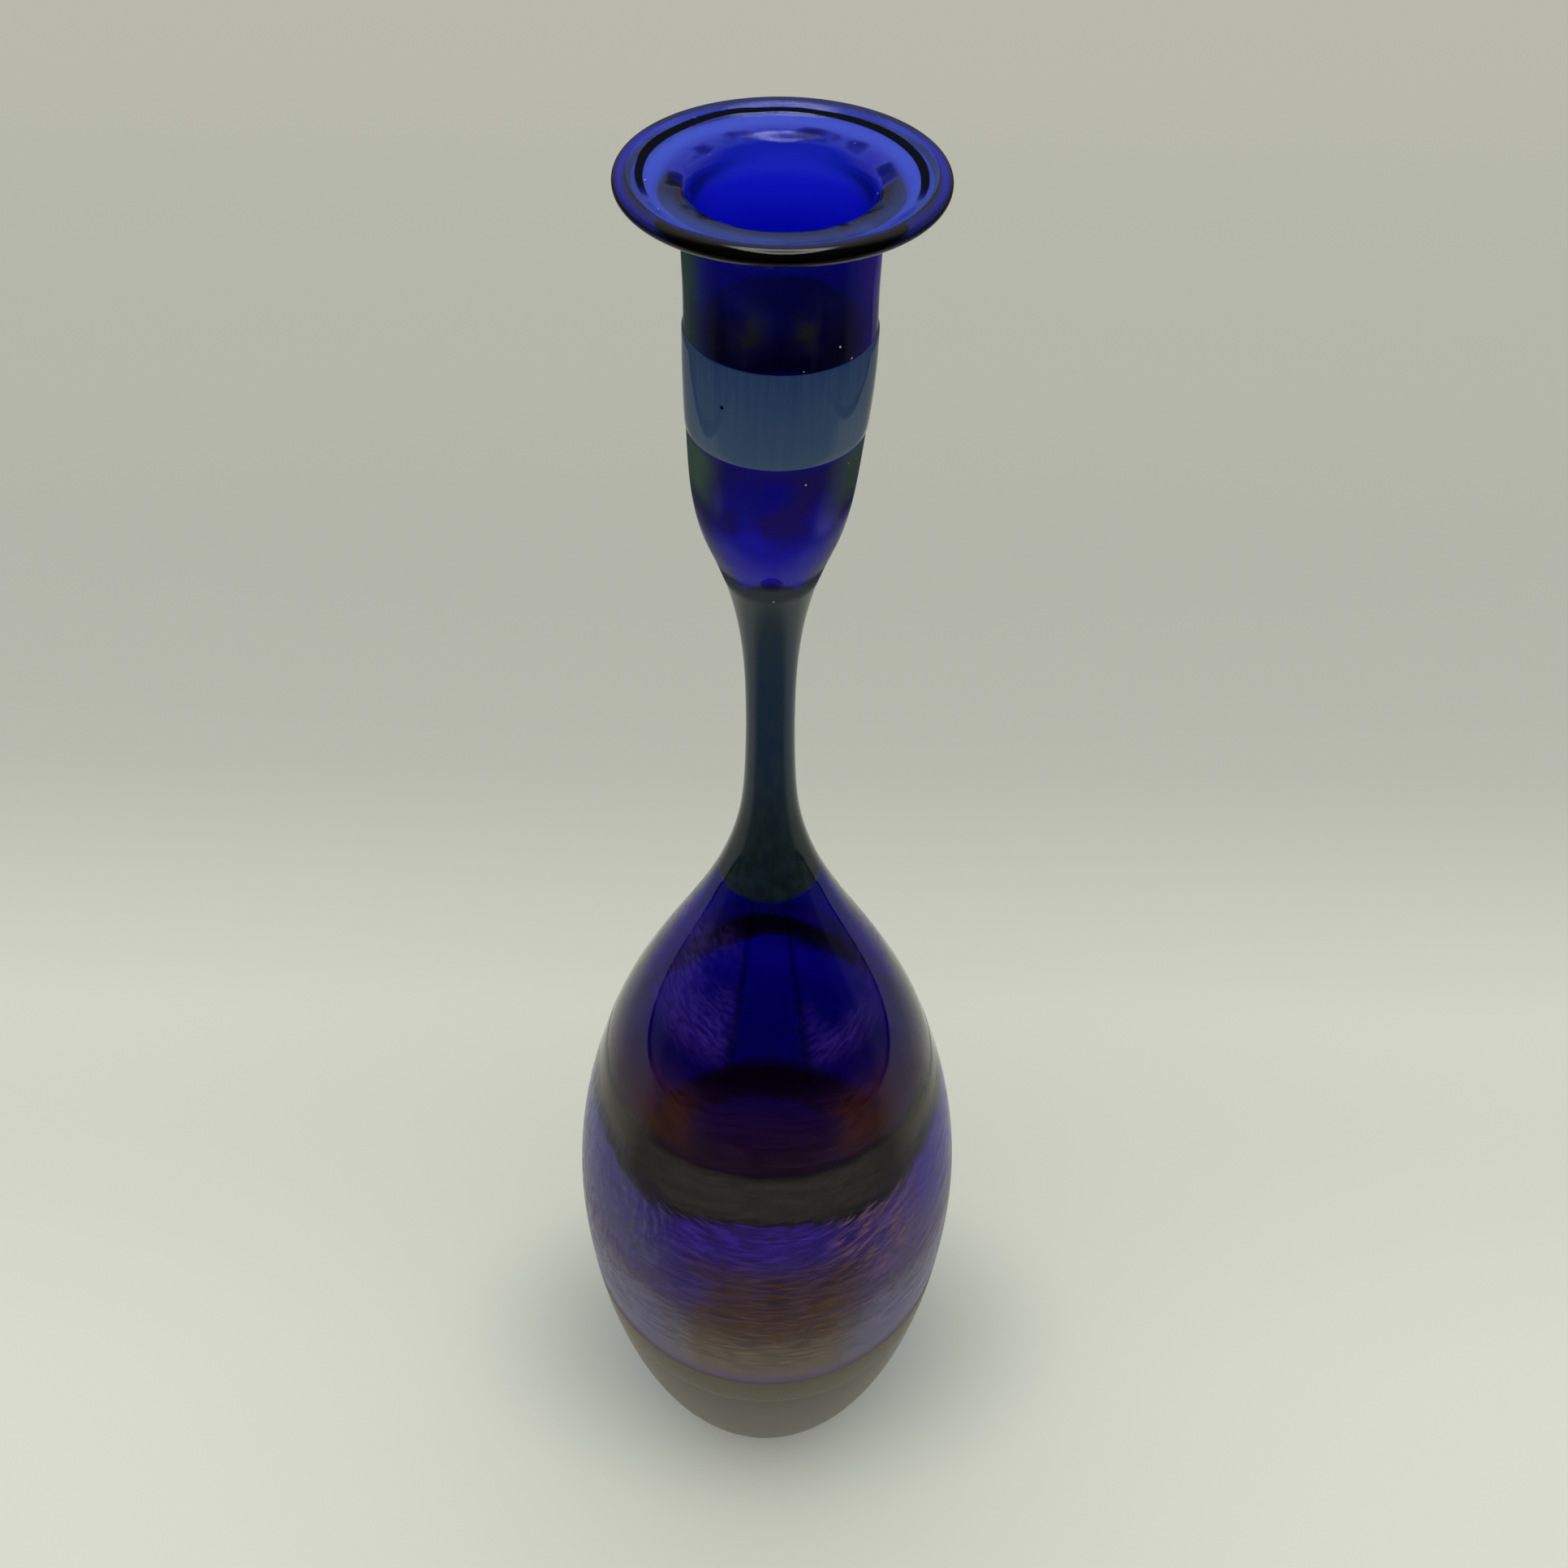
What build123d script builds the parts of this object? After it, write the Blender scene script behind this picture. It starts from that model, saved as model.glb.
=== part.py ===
from build123d import *
import os

# A hand-blown bottle vase: a long ovoid bulb on a small flat foot, a shoulder drawn up into a thin neck, a
# cylindrical cup and a nearly flat rim with a thick rounded lip. Coloured stripes lie in shallow seats in the
# cobalt glass. Lengths are in millimetres, +Z is up, and the origin is the centre of the foot on the surface
# that the vase stands on.

# Steps up the axis, one on top of the other
belly_height = 110.0
shoulder_length = 155.0
cup_rise = 69.0
cup_collar_length = 10.0
rim_rise = 16.0

# Outside radii
foot_radius = 18.0
belly_radius = 43.9
neck_radius = 4.3
cup_radius = 13.4
throat_radius = 13.2
rim_width = 8.4

# Wall thicknesses
bulb_wall = 2.4
neck_wall = 1.2
cup_wall = 1.5
base_thickness = 8.0

# Foot: how far up the heel was gathered, the round inside it, the ground hollow under it
heel_height = 14.0
floor_round = 9.0
foot_edge_round = 0.8
hollow_radius = 10.0
hollow_depth = 1.6

# Rim plate and lip
plate_thickness = 1.5
plate_dish = 1.0
mouth_round = 3.0
lip_bead_radius = 1.18

# Coloured stripes: seat depth, how far the cup's stripe stands proud, widths and places
stripe_depth = 0.5
cup_band_proud = 0.2
cup_band_width = 15.0
cup_band_drop = 10.5
sleeve_reach_up = 32.4
sleeve_reach_down = 40.1
belly_band_rise = 49.1
belly_band_width = 10.5
foot_band_drop = 19.0
foot_band_width = 14.0

# How the outside swells between two named radii, as shares of the climb and of the change in radius
shoulder_climb_shares = (0.15, 0.30, 0.45, 0.60, 0.72, 0.85, 0.92)
shoulder_change_shares = (0.038, 0.152, 0.341, 0.616, 0.829, 0.971, 0.993)
cup_climb_shares = (0.22, 0.36, 0.50, 0.58, 0.66, 0.80)
cup_change_shares = (0.06, 0.216, 0.515, 0.73, 0.853, 0.94)
flare_climb_shares = (0.53, 0.846, 0.945)
flare_change_shares = (0.01, 0.125, 0.457)

# A quarter of an oval as one curve: how far each inner control point lies towards the corner
quarter_oval_share = 0.5523

# Worked out from the sizes above
neck_height = belly_height + shoulder_length
cup_height = neck_height + cup_rise
throat_height = cup_height + cup_collar_length
vase_height = throat_height + rim_rise
rim_radius = throat_radius + rim_width
bead_ring_radius = rim_radius - lip_bead_radius
bead_height = vase_height - lip_bead_radius
plate_top = bead_height + plate_thickness / 2
plate_underside = bead_height - plate_thickness / 2
mouth_radius = throat_radius - cup_wall
mouth_edge_height = plate_top - plate_dish
bulb_half_height = belly_height / (1 - (foot_radius / belly_radius) ** 2) ** 0.5
sleeve_top = neck_height + sleeve_reach_up
sleeve_bottom = neck_height - sleeve_reach_down
belly_band_bottom = belly_height + belly_band_rise
foot_band_top = belly_height - foot_band_drop
cup_band_bottom = cup_height - cup_band_drop
slice_width = belly_radius + rim_radius

upright = (0, 1)
outward = (1, 0)


def swell(start, end, climb_shares, change_shares, end_direction=upright):
    """A smooth line that leaves start upright and climbs to end through points given as shares."""
    (radius, height), (end_radius, end_height) = start, end
    change, climb = end_radius - radius, end_height - height
    steps = zip(change_shares, climb_shares)
    through = [(radius + change * reach, height + climb * part) for reach, part in steps]
    return Spline(start, *through, end, tangents=[upright, end_direction])


def side(bulb_inset, neck_inset, cup_inset):
    """One surface of the wall from under the bulb to the throat, each stretch moved in by its inset."""
    bulb = belly_radius - bulb_inset
    belly = (bulb, belly_height)
    neck = (neck_radius - neck_inset, neck_height)
    cup = (cup_radius - cup_inset, cup_height)
    throat = (throat_radius - cup_inset, throat_height)
    half_height = bulb_half_height - bulb_inset
    bottom = (0, belly_height - half_height)
    bottom_pull = (bulb * quarter_oval_share, belly_height - half_height)
    belly_pull = (bulb, belly_height - half_height * quarter_oval_share)
    low = Bezier(bottom, bottom_pull, belly_pull, belly)
    shoulder = swell(belly, neck, shoulder_climb_shares, shoulder_change_shares)
    taper = swell(neck, cup, cup_climb_shares, cup_change_shares)
    collar = Spline(cup, throat, tangents=[upright, upright])
    return [low, shoulder, taper, collar]


def filled(lines, top):
    """The area between a surface line, which starts on the axis, and the axis."""
    closing = Polyline(lines[-1] @ 1, (0, top), lines[0] @ 0)
    return make_face([*lines, *closing.edges()])


def between(low, high):
    """A wide slice of the half section between two heights."""
    return Pos(slice_width / 2, (low + high) / 2) * Rectangle(slice_width, high - low)


def turned(section):
    """A half section turned round the vase's axis."""
    return revolve(Plane.XZ * section, Axis.Z)


def outer_low_corner(area):
    """The lowest corner of a half section, on the side away from the axis."""
    return area.vertices().group_by(Axis.Y)[0].sort_by(Axis.X)[-1]


def outside_area():
    """Half section of the vase as if it were solid, cut flat where it stands."""
    lines = side(0, 0, 0)
    throat = (throat_radius, throat_height)
    plate_end = (bead_ring_radius, plate_underside)
    lines.append(swell(throat, plate_end, flare_climb_shares, flare_change_shares, outward))
    lines.append(Line(plate_end, (bead_ring_radius, plate_top)))
    cut = filled(lines, plate_top) & between(0, vase_height)
    return fillet(outer_low_corner(cut), foot_edge_round)


def cavity_area():
    """Half section of the space inside, from the rounded floor to the mouth."""
    lines = side(bulb_wall, neck_wall, cup_wall)
    mouth_start = (mouth_radius, mouth_edge_height - mouth_round)
    mouth_edge = (mouth_radius + mouth_round, mouth_edge_height)
    plate_end = (bead_ring_radius, plate_top)
    lines.append(Line(lines[-1] @ 1, mouth_start))
    lines.append(TangentArc(mouth_start, mouth_edge, tangent=upright))
    lines.append(TangentArc(mouth_edge, plate_end, tangent=outward))
    lines.append(Line(plate_end, (bead_ring_radius, vase_height)))
    cut = filled(lines, vase_height) & between(base_thickness, vase_height)
    return fillet(outer_low_corner(cut), floor_round)


def hollow_area():
    """Half section of the shallow ground hollow under the foot, a slice of a large ball."""
    ball = (hollow_radius ** 2 + hollow_depth ** 2) / (2 * hollow_depth)
    return Pos(0, hollow_depth - ball) * Circle(ball) & between(-ball, hollow_depth)


def stripe_area(low, high, proud=0):
    """Half section of a stripe seated in the outside of the wall."""
    skin = filled(side(-proud, -proud, -proud), throat_height)
    seat = filled(side(stripe_depth, stripe_depth, stripe_depth), throat_height)
    return (skin - seat) & between(low, high)


outside = outside_area()
cavity = cavity_area()
bead_area = Pos(bead_ring_radius, bead_height) * Circle(lip_bead_radius)

cup_band_area = stripe_area(cup_band_bottom, cup_band_bottom + cup_band_width, cup_band_proud)
sleeve_area = stripe_area(sleeve_bottom, sleeve_top)
belly_band_area = stripe_area(belly_band_bottom, belly_band_bottom + belly_band_width)
foot_band_area = stripe_area(foot_band_top - foot_band_width, foot_band_top)

glass = outside - cavity
glass = glass - hollow_area()
glass = glass - bead_area
for stripe in (cup_band_area, sleeve_area, belly_band_area, foot_band_area):
    glass = glass - stripe

sections = {
    "base": glass & between(0, heel_height),
    "bulb": glass & between(heel_height, belly_band_bottom),
    "shoulder": glass & between(belly_band_bottom, sleeve_bottom),
    "neck_stem": glass & between(sleeve_bottom, sleeve_top),
    "cup": glass & between(sleeve_top, throat_height),
    "rim_flange": glass & between(throat_height, vase_height),
    "lip_bead": bead_area,
    "cup_band": cup_band_area,
    "neck_sleeve": sleeve_area,
    "belly_band": belly_band_area,
    "foot_band": foot_band_area,
}

os.makedirs("parts", exist_ok=True)
for node, section in sections.items():
    export_step(turned(section), f"parts/{node}.step")
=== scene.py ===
# %% [markdown]
# A blown bottle vase in cobalt glass. The glassmaker blows a long bulb, draws its shoulder up into a thin
# neck, and opens the top into a cup and a flat rim. Stripes of other glass are laid round it while it is hot.
# Clear glass shows both of its surfaces and whatever is behind them, so the wall is made with its real
# thickness, and its colour comes from how far light travels inside it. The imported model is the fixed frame:
# every height and radius below is read from it, or is one of the maker's sizes that shaped it.

# %% The frame
import math
from functools import partialmethod

import bmesh
import bpy
import numpy as np
from mathutils import Matrix, Vector


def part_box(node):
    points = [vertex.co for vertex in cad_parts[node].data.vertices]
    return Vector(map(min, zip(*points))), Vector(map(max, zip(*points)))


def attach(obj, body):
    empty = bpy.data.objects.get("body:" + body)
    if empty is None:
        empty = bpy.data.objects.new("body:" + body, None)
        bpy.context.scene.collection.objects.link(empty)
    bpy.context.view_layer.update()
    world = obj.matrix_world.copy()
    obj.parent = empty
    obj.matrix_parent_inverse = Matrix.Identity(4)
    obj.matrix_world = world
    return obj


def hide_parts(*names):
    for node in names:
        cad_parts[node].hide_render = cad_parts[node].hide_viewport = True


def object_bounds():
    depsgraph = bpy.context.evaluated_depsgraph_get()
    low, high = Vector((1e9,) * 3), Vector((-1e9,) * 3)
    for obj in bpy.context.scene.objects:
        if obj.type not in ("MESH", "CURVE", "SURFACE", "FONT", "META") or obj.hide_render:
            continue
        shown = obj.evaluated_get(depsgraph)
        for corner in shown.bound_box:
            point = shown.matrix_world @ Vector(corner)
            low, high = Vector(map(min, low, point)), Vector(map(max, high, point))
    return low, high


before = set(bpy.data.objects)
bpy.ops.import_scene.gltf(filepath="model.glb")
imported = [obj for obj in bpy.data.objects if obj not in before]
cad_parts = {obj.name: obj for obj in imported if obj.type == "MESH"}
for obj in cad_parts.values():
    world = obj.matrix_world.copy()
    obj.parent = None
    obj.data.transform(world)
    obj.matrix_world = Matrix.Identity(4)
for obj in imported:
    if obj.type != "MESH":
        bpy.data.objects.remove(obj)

MM = 0.001
cad_low, cad_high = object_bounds()
print("vase height and width in mm", round(cad_high.z / MM, 1), round((cad_high.x - cad_low.x) / MM, 1))

# %% [markdown]
# The camera looks down on the vase from just above the rim, as a person does who holds a telephone over a
# light box. Its place and tilt were found by fitting the vase's outline, and it is rolled by one degree.

# %% The camera
CAMERA_PLACE = Vector((2.5, -190.3, 450.5)) * MM
CAMERA_LENS = 36.056
CAMERA_DOWN = 46.874
CAMERA_ROLL = 0.961


def set_camera():
    """A camera that looks along +Y and down, turned a little about its own line of sight."""
    data = bpy.data.cameras.new("camera")
    data.lens = CAMERA_LENS
    data.sensor_width = 36
    data.clip_start, data.clip_end = 10 * MM, 50
    camera = bpy.data.objects.new("camera", data)
    tilt = Matrix.Rotation(math.radians(90 - CAMERA_DOWN), 4, "X")
    roll = Matrix.Rotation(math.radians(CAMERA_ROLL), 4, "Z")
    camera.matrix_world = Matrix.Translation(CAMERA_PLACE) @ tilt @ roll
    bpy.context.scene.collection.objects.link(camera)
    bpy.context.scene.camera = camera
    bpy.context.scene.view_settings.view_transform = "Standard"


set_camera()
print("camera lens in mm", CAMERA_LENS)

# %% [markdown]
# A node tree is a long sum drawn as boxes, and it is easier to read when it is written as a sum. So add_node
# makes a node, its values and its links in one line, and a Measure is a number that some node gives. Each
# plus, times or soft step on a Measure adds the node for it. Shader trees and geometry trees share both.

# %% Helpers for node trees
def add_node(tree, kind, values=None, **settings):
    """A new node with its settings, and its inputs given as numbers or as other nodes' outputs."""
    node = tree.nodes.new(kind)
    for name, value in settings.items():
        setattr(node, name, value)
    for name, value in (values or {}).items():
        value = getattr(value, "socket", value)
        if isinstance(value, bpy.types.NodeSocket):
            tree.links.new(value, node.inputs[name])
        else:
            node.inputs[name].default_value = value
    return node


class Measure:
    """A number that a node gives. Each sum on it adds a node to the same tree."""

    def __init__(self, socket):
        self.socket = socket
        self.tree = socket.id_data

    def worked(self, operation, *others, clamp=False):
        """The result of one operation on this number and others."""
        values = dict(enumerate((self, *others)))
        node = add_node(self.tree, "ShaderNodeMath", values, operation=operation, use_clamp=clamp)
        return Measure(node.outputs[0])

    __add__ = partialmethod(worked, "ADD")
    __sub__ = partialmethod(worked, "SUBTRACT")
    __mul__ = partialmethod(worked, "MULTIPLY")
    __truediv__ = partialmethod(worked, "DIVIDE")
    __abs__ = partialmethod(worked, "ABSOLUTE")
    most = partialmethod(worked, "MAXIMUM")
    least = partialmethod(worked, "MINIMUM")

    def ease(self, low, high, to_low=0.0, to_high=1.0, steps="SMOOTHSTEP"):
        """A soft step from one value to another while this number goes from low to high."""
        values = {"Value": self, "From Min": low, "From Max": high, "To Min": to_low, "To Max": to_high}
        node = add_node(self.tree, "ShaderNodeMapRange", values, interpolation_type=steps)
        return Measure(node.outputs["Result"])

    def fade(self, low, high):
        """One below the low number, falling softly to nothing at the high one."""
        return self.ease(low, high, 1.0, 0.0)

    def between(self, low, soft_low, soft_high, high):
        """One between the middle two numbers, falling softly to nothing at the outer two."""
        return self.ease(low, soft_low) * self.fade(soft_high, high)

    def blend(self, first, second, how="MIX"):
        """One colour turned into another, with this number as the mask."""
        values = {"Fac": self, "Color1": first, "Color2": second}
        return add_node(self.tree, "ShaderNodeMixRGB", values, blend_type=how).outputs["Color"]


def named(sockets):
    """A node's outputs as measures, by name."""
    return {socket.name: Measure(socket) for socket in sockets}


def apart(tree, vector):
    """The three numbers of a vector."""
    return named(add_node(tree, "ShaderNodeSeparateXYZ", {"Vector": vector}).outputs).values()


def vector_sum(tree, operation, *vectors):
    """The vector that one operation on vectors gives."""
    values = dict(enumerate(vectors))
    return add_node(tree, "ShaderNodeVectorMath", values, operation=operation).outputs[0]


def length(tree, vector):
    """How long a vector is."""
    return Measure(add_node(tree, "ShaderNodeVectorMath", {0: vector}, operation="LENGTH").outputs["Value"])


# %% [markdown]
# The outline of the glass is half of its cross section. Outside and inside are drawn apart, each as the
# glassmaker's stages: a quarter oval below the belly, a long shoulder, a taper up into the cup and a flare
# out to the rim. A curve object could be drawn by hand, but a smooth line through a few points, with its
# directions given at both ends, follows the sizes by itself.

# %% The glassmaker's sizes
BELLY_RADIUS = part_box("bulb")[1].x
FOOT_RADIUS = 18 * MM
NECK_RADIUS = 4.3 * MM
CUP_RADIUS = 13.4 * MM
THROAT_RADIUS = 13.2 * MM

BELLY_HEIGHT = 110 * MM
NECK_HEIGHT = 265 * MM
CUP_HEIGHT = 334 * MM
THROAT_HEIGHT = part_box("rim_flange")[0].z

BULB_WALL = 2.4 * MM
NECK_WALL = 1.2 * MM
CUP_WALL = 1.5 * MM

SHOULDER_CLIMB = (0.15, 0.30, 0.45, 0.60, 0.72, 0.85, 0.92)
SHOULDER_CHANGE = (0.038, 0.152, 0.341, 0.616, 0.829, 0.971, 0.993)
CUP_CLIMB = (0.22, 0.36, 0.50, 0.58, 0.66, 0.80)
CUP_CHANGE = (0.06, 0.216, 0.515, 0.73, 0.853, 0.94)
FLARE_CLIMB = (0.53, 0.846, 0.945)
FLARE_CHANGE = (0.01, 0.125, 0.457)

WALL_STEP = 2.0 * MM
RIM_STEP = 0.35 * MM
UPRIGHT = (0, 1)
OUTWARD = (1, 0)
print("belly radius and throat height in mm", round(BELLY_RADIUS / MM, 2), round(THROAT_HEIGHT / MM, 1))


# %% Smooth lines
def drawn_line(points, leave, arrive, step):
    """Places along a smooth line through (radius, height) points, with its directions at both ends."""
    points = np.array(points, float)
    gaps = np.linalg.norm(np.diff(points, axis=0), axis=1)
    runs = np.concatenate([[0], np.cumsum(gaps)])
    count = len(points)
    sums = np.eye(count)
    known = np.zeros((count, 2))
    known[0], known[-1] = leave, arrive
    for i in range(1, count - 1):
        before, after = gaps[i - 1], gaps[i]
        sums[i, i - 1:i + 2] = 1 / before, 2 / before + 2 / after, 1 / after
        rise, fall = points[i] - points[i - 1], points[i + 1] - points[i]
        known[i] = 3 * rise / before ** 2 + 3 * fall / after ** 2
    slopes = np.linalg.solve(sums, known)
    at = np.linspace(0, runs[-1], math.ceil(runs[-1] / step) + 1)
    span = np.clip(np.searchsorted(runs, at, side="right") - 1, 0, count - 2)
    gap = gaps[span, None]
    share = ((at - runs[span]) / gaps[span])[:, None]
    rest = 1 - share
    ends = points[span] * (1 + 2 * share) * rest ** 2 + points[span + 1] * share ** 2 * (3 - 2 * share)
    pulls = slopes[span] * gap * share * rest ** 2 - slopes[span + 1] * gap * share ** 2 * rest
    return ends + pulls


def swell(start, end, climb_shares, change_shares, step, arrive=UPRIGHT):
    """A smooth climb from start to end through points given as shares of the climb and of the change."""
    start, end = np.array(start), np.array(end)
    shares = np.column_stack([change_shares, climb_shares])
    return drawn_line([start, *(start + (end - start) * shares), end], UPRIGHT, arrive, step)


def arc(centre, radius, start, end, count):
    """Places along a circle's arc, with angles in degrees from the outward direction."""
    angles = np.radians(np.linspace(start, end, count))
    return np.array(centre) + radius * np.column_stack([np.cos(angles), np.sin(angles)])


def wall_line(bulb_inset, neck_inset, cup_inset, low):
    """One surface of the wall from a low height to the throat, each stretch moved in by its inset."""
    bulb = BELLY_RADIUS - bulb_inset
    half = BELLY_HEIGHT / math.sqrt(1 - (FOOT_RADIUS / BELLY_RADIUS) ** 2) - bulb_inset
    sweep = math.asin((BELLY_HEIGHT - low) / half)
    angles = np.linspace(-sweep, 0, math.ceil(sweep * half / WALL_STEP) + 1)
    oval = np.column_stack([bulb * np.cos(angles), BELLY_HEIGHT + half * np.sin(angles)])
    neck = (NECK_RADIUS - neck_inset, NECK_HEIGHT)
    cup, throat = (CUP_RADIUS - cup_inset, CUP_HEIGHT), (THROAT_RADIUS - cup_inset, THROAT_HEIGHT)
    shoulder = swell((bulb, BELLY_HEIGHT), neck, SHOULDER_CLIMB, SHOULDER_CHANGE, WALL_STEP)
    taper = swell(neck, cup, CUP_CLIMB, CUP_CHANGE, WALL_STEP)
    collar = drawn_line([cup, throat], UPRIGHT, UPRIGHT, WALL_STEP)
    return np.concatenate([oval, shoulder[1:], taper[1:], collar[1:]])


def flare_line(start):
    """The underside of the rim, from the throat out to the lip."""
    return swell(start, (LIP_RING, PLATE_UNDER), FLARE_CLIMB, FLARE_CHANGE, RIM_STEP, OUTWARD)


outer_skin = wall_line(0, 0, 0, 0)
print("places on the outside of the wall", len(outer_skin))

# %% [markdown]
# The stripes lie in seats. On the real vase a stripe melts into the wall, so a deep step under it would show
# as a bright line through clear glass. Three stripes therefore get a seat that sinks softly by a twentieth of
# a millimetre, and only the cup's thick wrap has a stepped one.

# %% Seats for the stripes
CUP_BAND_DEPTH = 0.5 * MM
CUP_BAND_PROUD = 0.2 * MM
STEP_CLEAR = 0.3 * MM
SMEARED_DEPTH = 0.05 * MM
SMEARED_RUN = 3.0 * MM
SMEARED_STRIPES = ("foot_band", "belly_band", "neck_sleeve")


def reach_of(node):
    """The lowest and highest place of a node of the frame."""
    return [corner.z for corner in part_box(node)]


def radius_at(line, height):
    """The radius of a climbing line at a height."""
    return np.interp(height, line[:, 1], line[:, 0])


def with_seats(line):
    """The outside line, sunk softly under the smeared stripes and stepped in under the cup's wrap."""
    line = line.copy()
    for node in SMEARED_STRIPES:
        low, high = reach_of(node)
        sunk = np.clip(np.minimum(line[:, 1] - low, high - line[:, 1]) / SMEARED_RUN + 1, 0, 1)
        line[:, 0] -= SMEARED_DEPTH * sunk ** 2 * (3 - 2 * sunk)
    low, high = reach_of("cup_band")
    edges = np.array([low, low, high, high])
    depths = np.array([0, CUP_BAND_DEPTH, CUP_BAND_DEPTH, 0])
    corners = np.column_stack([radius_at(line, edges) - depths, edges])
    below, above = line[line[:, 1] < low - STEP_CLEAR], line[line[:, 1] > high + STEP_CLEAR]
    inside = line[(line[:, 1] > low + STEP_CLEAR) & (line[:, 1] < high - STEP_CLEAR)]
    return np.concatenate([below, corners[:2], inside - [CUP_BAND_DEPTH, 0], corners[2:], above])


print("seat depths in mm", SMEARED_DEPTH / MM, "and under the cup's wrap", CUP_BAND_DEPTH / MM)

# %% The rim
lip_low, lip_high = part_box("lip_bead")
LIP_RADIUS = (lip_high.z - lip_low.z) / 2
LIP_RING = lip_high.x - LIP_RADIUS
LIP_HEIGHT = lip_high.z - LIP_RADIUS

PLATE_THICKNESS = 1.5 * MM
PLATE_DISH = 1.0 * MM
PLATE_TOP = LIP_HEIGHT + PLATE_THICKNESS / 2
PLATE_UNDER = LIP_HEIGHT - PLATE_THICKNESS / 2
MOUTH_ROUND = 3.0 * MM
MOUTH_EDGE = THROAT_RADIUS - CUP_WALL + MOUTH_ROUND
MOUTH_CENTRE = (MOUTH_EDGE, PLATE_TOP - PLATE_DISH - MOUTH_ROUND)


def plate_line():
    """The rim's upper face from the mouth's edge out to the top of the lip."""
    dish = (MOUTH_EDGE, PLATE_TOP - PLATE_DISH)
    middle = ((MOUTH_EDGE + LIP_RING) / 2, PLATE_TOP - 0.6 * PLATE_DISH)
    return drawn_line([dish, middle, (LIP_RING, LIP_HEIGHT + LIP_RADIUS)], OUTWARD, OUTWARD, RIM_STEP)


print("lip radius in mm", round(LIP_RADIUS / MM, 2))

# %% The outline of the whole wall
BASE_THICKNESS = 8 * MM
FLOOR_TURN = 4.95 * MM
FOOT_EDGE_ROUND = 0.8 * MM
HOLLOW_RADIUS = 10 * MM
HOLLOW_DEPTH = 1.6 * MM


def floor_turn(start, corner):
    """The round between the inside wall and the floor of the bulb."""
    share = np.linspace(0, 1, 9)[1:, None]
    end = corner - [FLOOR_TURN, 0]
    return start * (1 - share) ** 2 + corner * 2 * share * (1 - share) + end * share ** 2


def glass_outline():
    """The closed half section: under the foot, up the outside, round the lip and down inside."""
    ball = (HOLLOW_RADIUS ** 2 + HOLLOW_DEPTH ** 2) / (2 * HOLLOW_DEPTH)
    reach = math.degrees(math.asin(HOLLOW_RADIUS / ball))
    hollow = arc((0, HOLLOW_DEPTH - ball), ball, 90, 90 - reach, 8)
    heel = arc((FOOT_RADIUS - FOOT_EDGE_ROUND, FOOT_EDGE_ROUND), FOOT_EDGE_ROUND, -90, -20, 5)
    outside = with_seats(outer_skin[outer_skin[:, 1] > 1.5 * FOOT_EDGE_ROUND])
    flare = flare_line(outside[-1])[1:]
    flare = flare[np.hypot(flare[:, 0] - LIP_RING, flare[:, 1] - LIP_HEIGHT) > LIP_RADIUS]
    crease = math.degrees(math.asin(PLATE_THICKNESS / 2 / LIP_RADIUS))
    lip = arc((LIP_RING, LIP_HEIGHT), LIP_RADIUS, crease - 180, 90, 20)
    plate = plate_line()[::-1]
    mouth = arc(MOUTH_CENTRE, MOUTH_ROUND, 90, 180, 14)
    inside = wall_line(BULB_WALL, NECK_WALL, CUP_WALL, BASE_THICKNESS)[::-1]
    bowl = inside[inside[:, 1] > BASE_THICKNESS + FLOOR_TURN]
    turn = floor_turn(bowl[-1], inside[-1] - [0.2 * MM, 0])
    centre = [(0, BASE_THICKNESS)]
    return np.concatenate([hollow, heel, outside, flare, lip, plate[1:], mouth[1:], bowl, turn, centre])


wall_outline = glass_outline()
print("places on the glass outline", len(wall_outline))

# %% The outlines of stripes and films
STRIPE_GAP = 0.01 * MM
BLOOM_DEPTH = 0.02 * MM
BULB_BLOOM = (1.6 * MM, 224.5 * MM)
CUP_BLOOM = (294.5 * MM, 355 * MM)


def stripe_outline(node):
    """The closed section of one stripe, a hair's breadth clear of its seat, with softened corners."""
    low, high = reach_of(node)
    proud, depth = (CUP_BAND_PROUD, CUP_BAND_DEPTH) if node == "cup_band" else (0, SMEARED_DEPTH)
    heights = np.linspace(low + STRIPE_GAP, high - STRIPE_GAP, math.ceil((high - low) / WALL_STEP) + 3)
    skin = np.column_stack([radius_at(outer_skin, heights) + proud, heights])
    seat = np.column_stack([radius_at(outer_skin, heights) - depth + STRIPE_GAP, heights])
    soft = 0.25 * depth
    first, last = skin[0], skin[-1]
    foot = [first - [soft, 0], first + [-0.3 * soft, 0.3 * soft], first + [0, soft]]
    top = [last - [0, soft], last - [0.3 * soft, 0.3 * soft], last - [soft, 0]]
    return np.concatenate([foot, skin[1:-1], top, seat[::-1], foot[:1]])


def raised(line, off):
    """A line moved square to itself: outwards where it climbs, downwards where it runs out."""
    run = np.gradient(line, axis=0)
    run /= np.hypot(run[:, 0], run[:, 1])[:, None]
    return line + off * np.column_stack([run[:, 1], -run[:, 0]])


def bloom_outline(covered, side):
    """The closed section of a thin bloom that lies on a stretch of the skin."""
    lower, upper = (raised(covered, side * off) for off in (STRIPE_GAP, STRIPE_GAP + BLOOM_DEPTH))
    return np.concatenate([upper, lower[::-1], upper[:1]])


def skin_between(low, high):
    """The outside of the wall and of the flare under the rim between two heights."""
    line = np.concatenate([outer_skin, flare_line((THROAT_RADIUS, THROAT_HEIGHT))[1:]])
    return line[(line[:, 1] > low) & (line[:, 1] < high)]


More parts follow.
